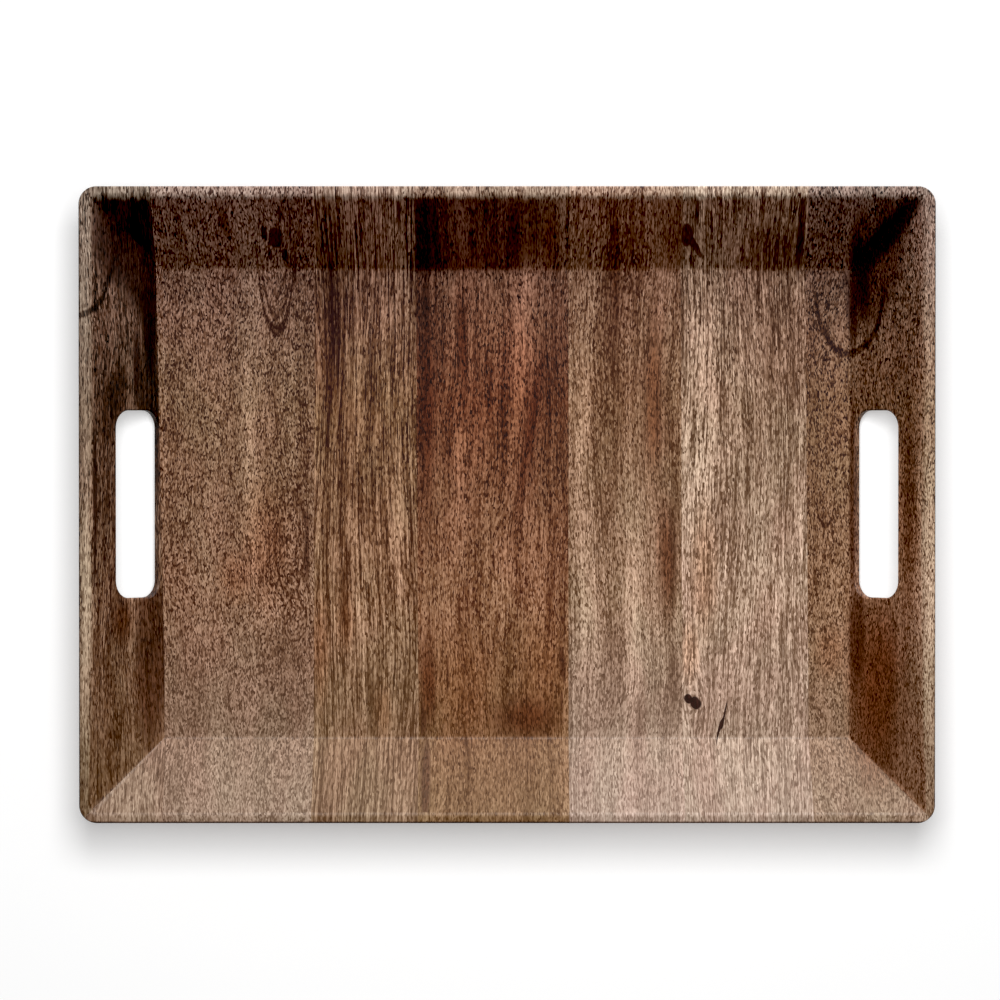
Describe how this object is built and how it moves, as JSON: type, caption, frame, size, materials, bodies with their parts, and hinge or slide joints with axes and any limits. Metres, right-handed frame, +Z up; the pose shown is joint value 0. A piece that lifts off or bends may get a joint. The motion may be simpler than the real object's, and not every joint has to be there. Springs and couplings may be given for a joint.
{
  "type": "serving tray",
  "caption": "Rectangular wooden serving tray of edge-glued staves, with low canted mitred walls and a rounded hand slot through each end wall.",
  "frame": {"origin": "centre of the flat underside, on the surface that the tray stands on", "axes": "+Z up out of the tray, +X along its length from one hand slot to the other, +Y from the front wall to the back wall"},
  "size_m": [0.48, 0.357, 0.049],
  "materials": {
    "wood_1": "satin lacquer over dark brown walnut-like wood with a near-black stain",
    "wood_2": "satin lacquer over mottled mid-brown wood with short dark pores",
    "wood_3": "satin lacquer over mid-brown wood with coarse straight streaks",
    "wood_4": "satin lacquer over dark red-brown wood",
    "wood_5": "satin lacquer over tan wood with reddish streaks",
    "wood_6": "satin lacquer over light tan wood with a dark knot",
    "wood_7": "satin lacquer over mid-brown wood with a V-shaped figure"
  },
  "bodies": {
    "root": {"floor_stave_2": "wood_2", "floor_stave_3": "wood_3", "floor_stave_4": "wood_4", "floor_stave_5": "wood_5", "floor_stave_6": "wood_6", "floor_stave_7": "wood_7", "front_wall_stave_1": "wood_1", "front_wall_stave_2": "wood_2", "front_wall_stave_3": "wood_3", "front_wall_stave_4": "wood_4", "front_wall_stave_5": "wood_5", "front_wall_stave_6": "wood_6", "front_wall_stave_7": "wood_7", "back_wall_stave_1": "wood_1", "back_wall_stave_2": "wood_2", "back_wall_stave_3": "wood_3", "back_wall_stave_4": "wood_4", "back_wall_stave_5": "wood_5", "back_wall_stave_6": "wood_6", "back_wall_stave_7": "wood_7", "left_end_board": "wood_1", "right_end_board": "wood_7"}
  },
  "joints": []
}
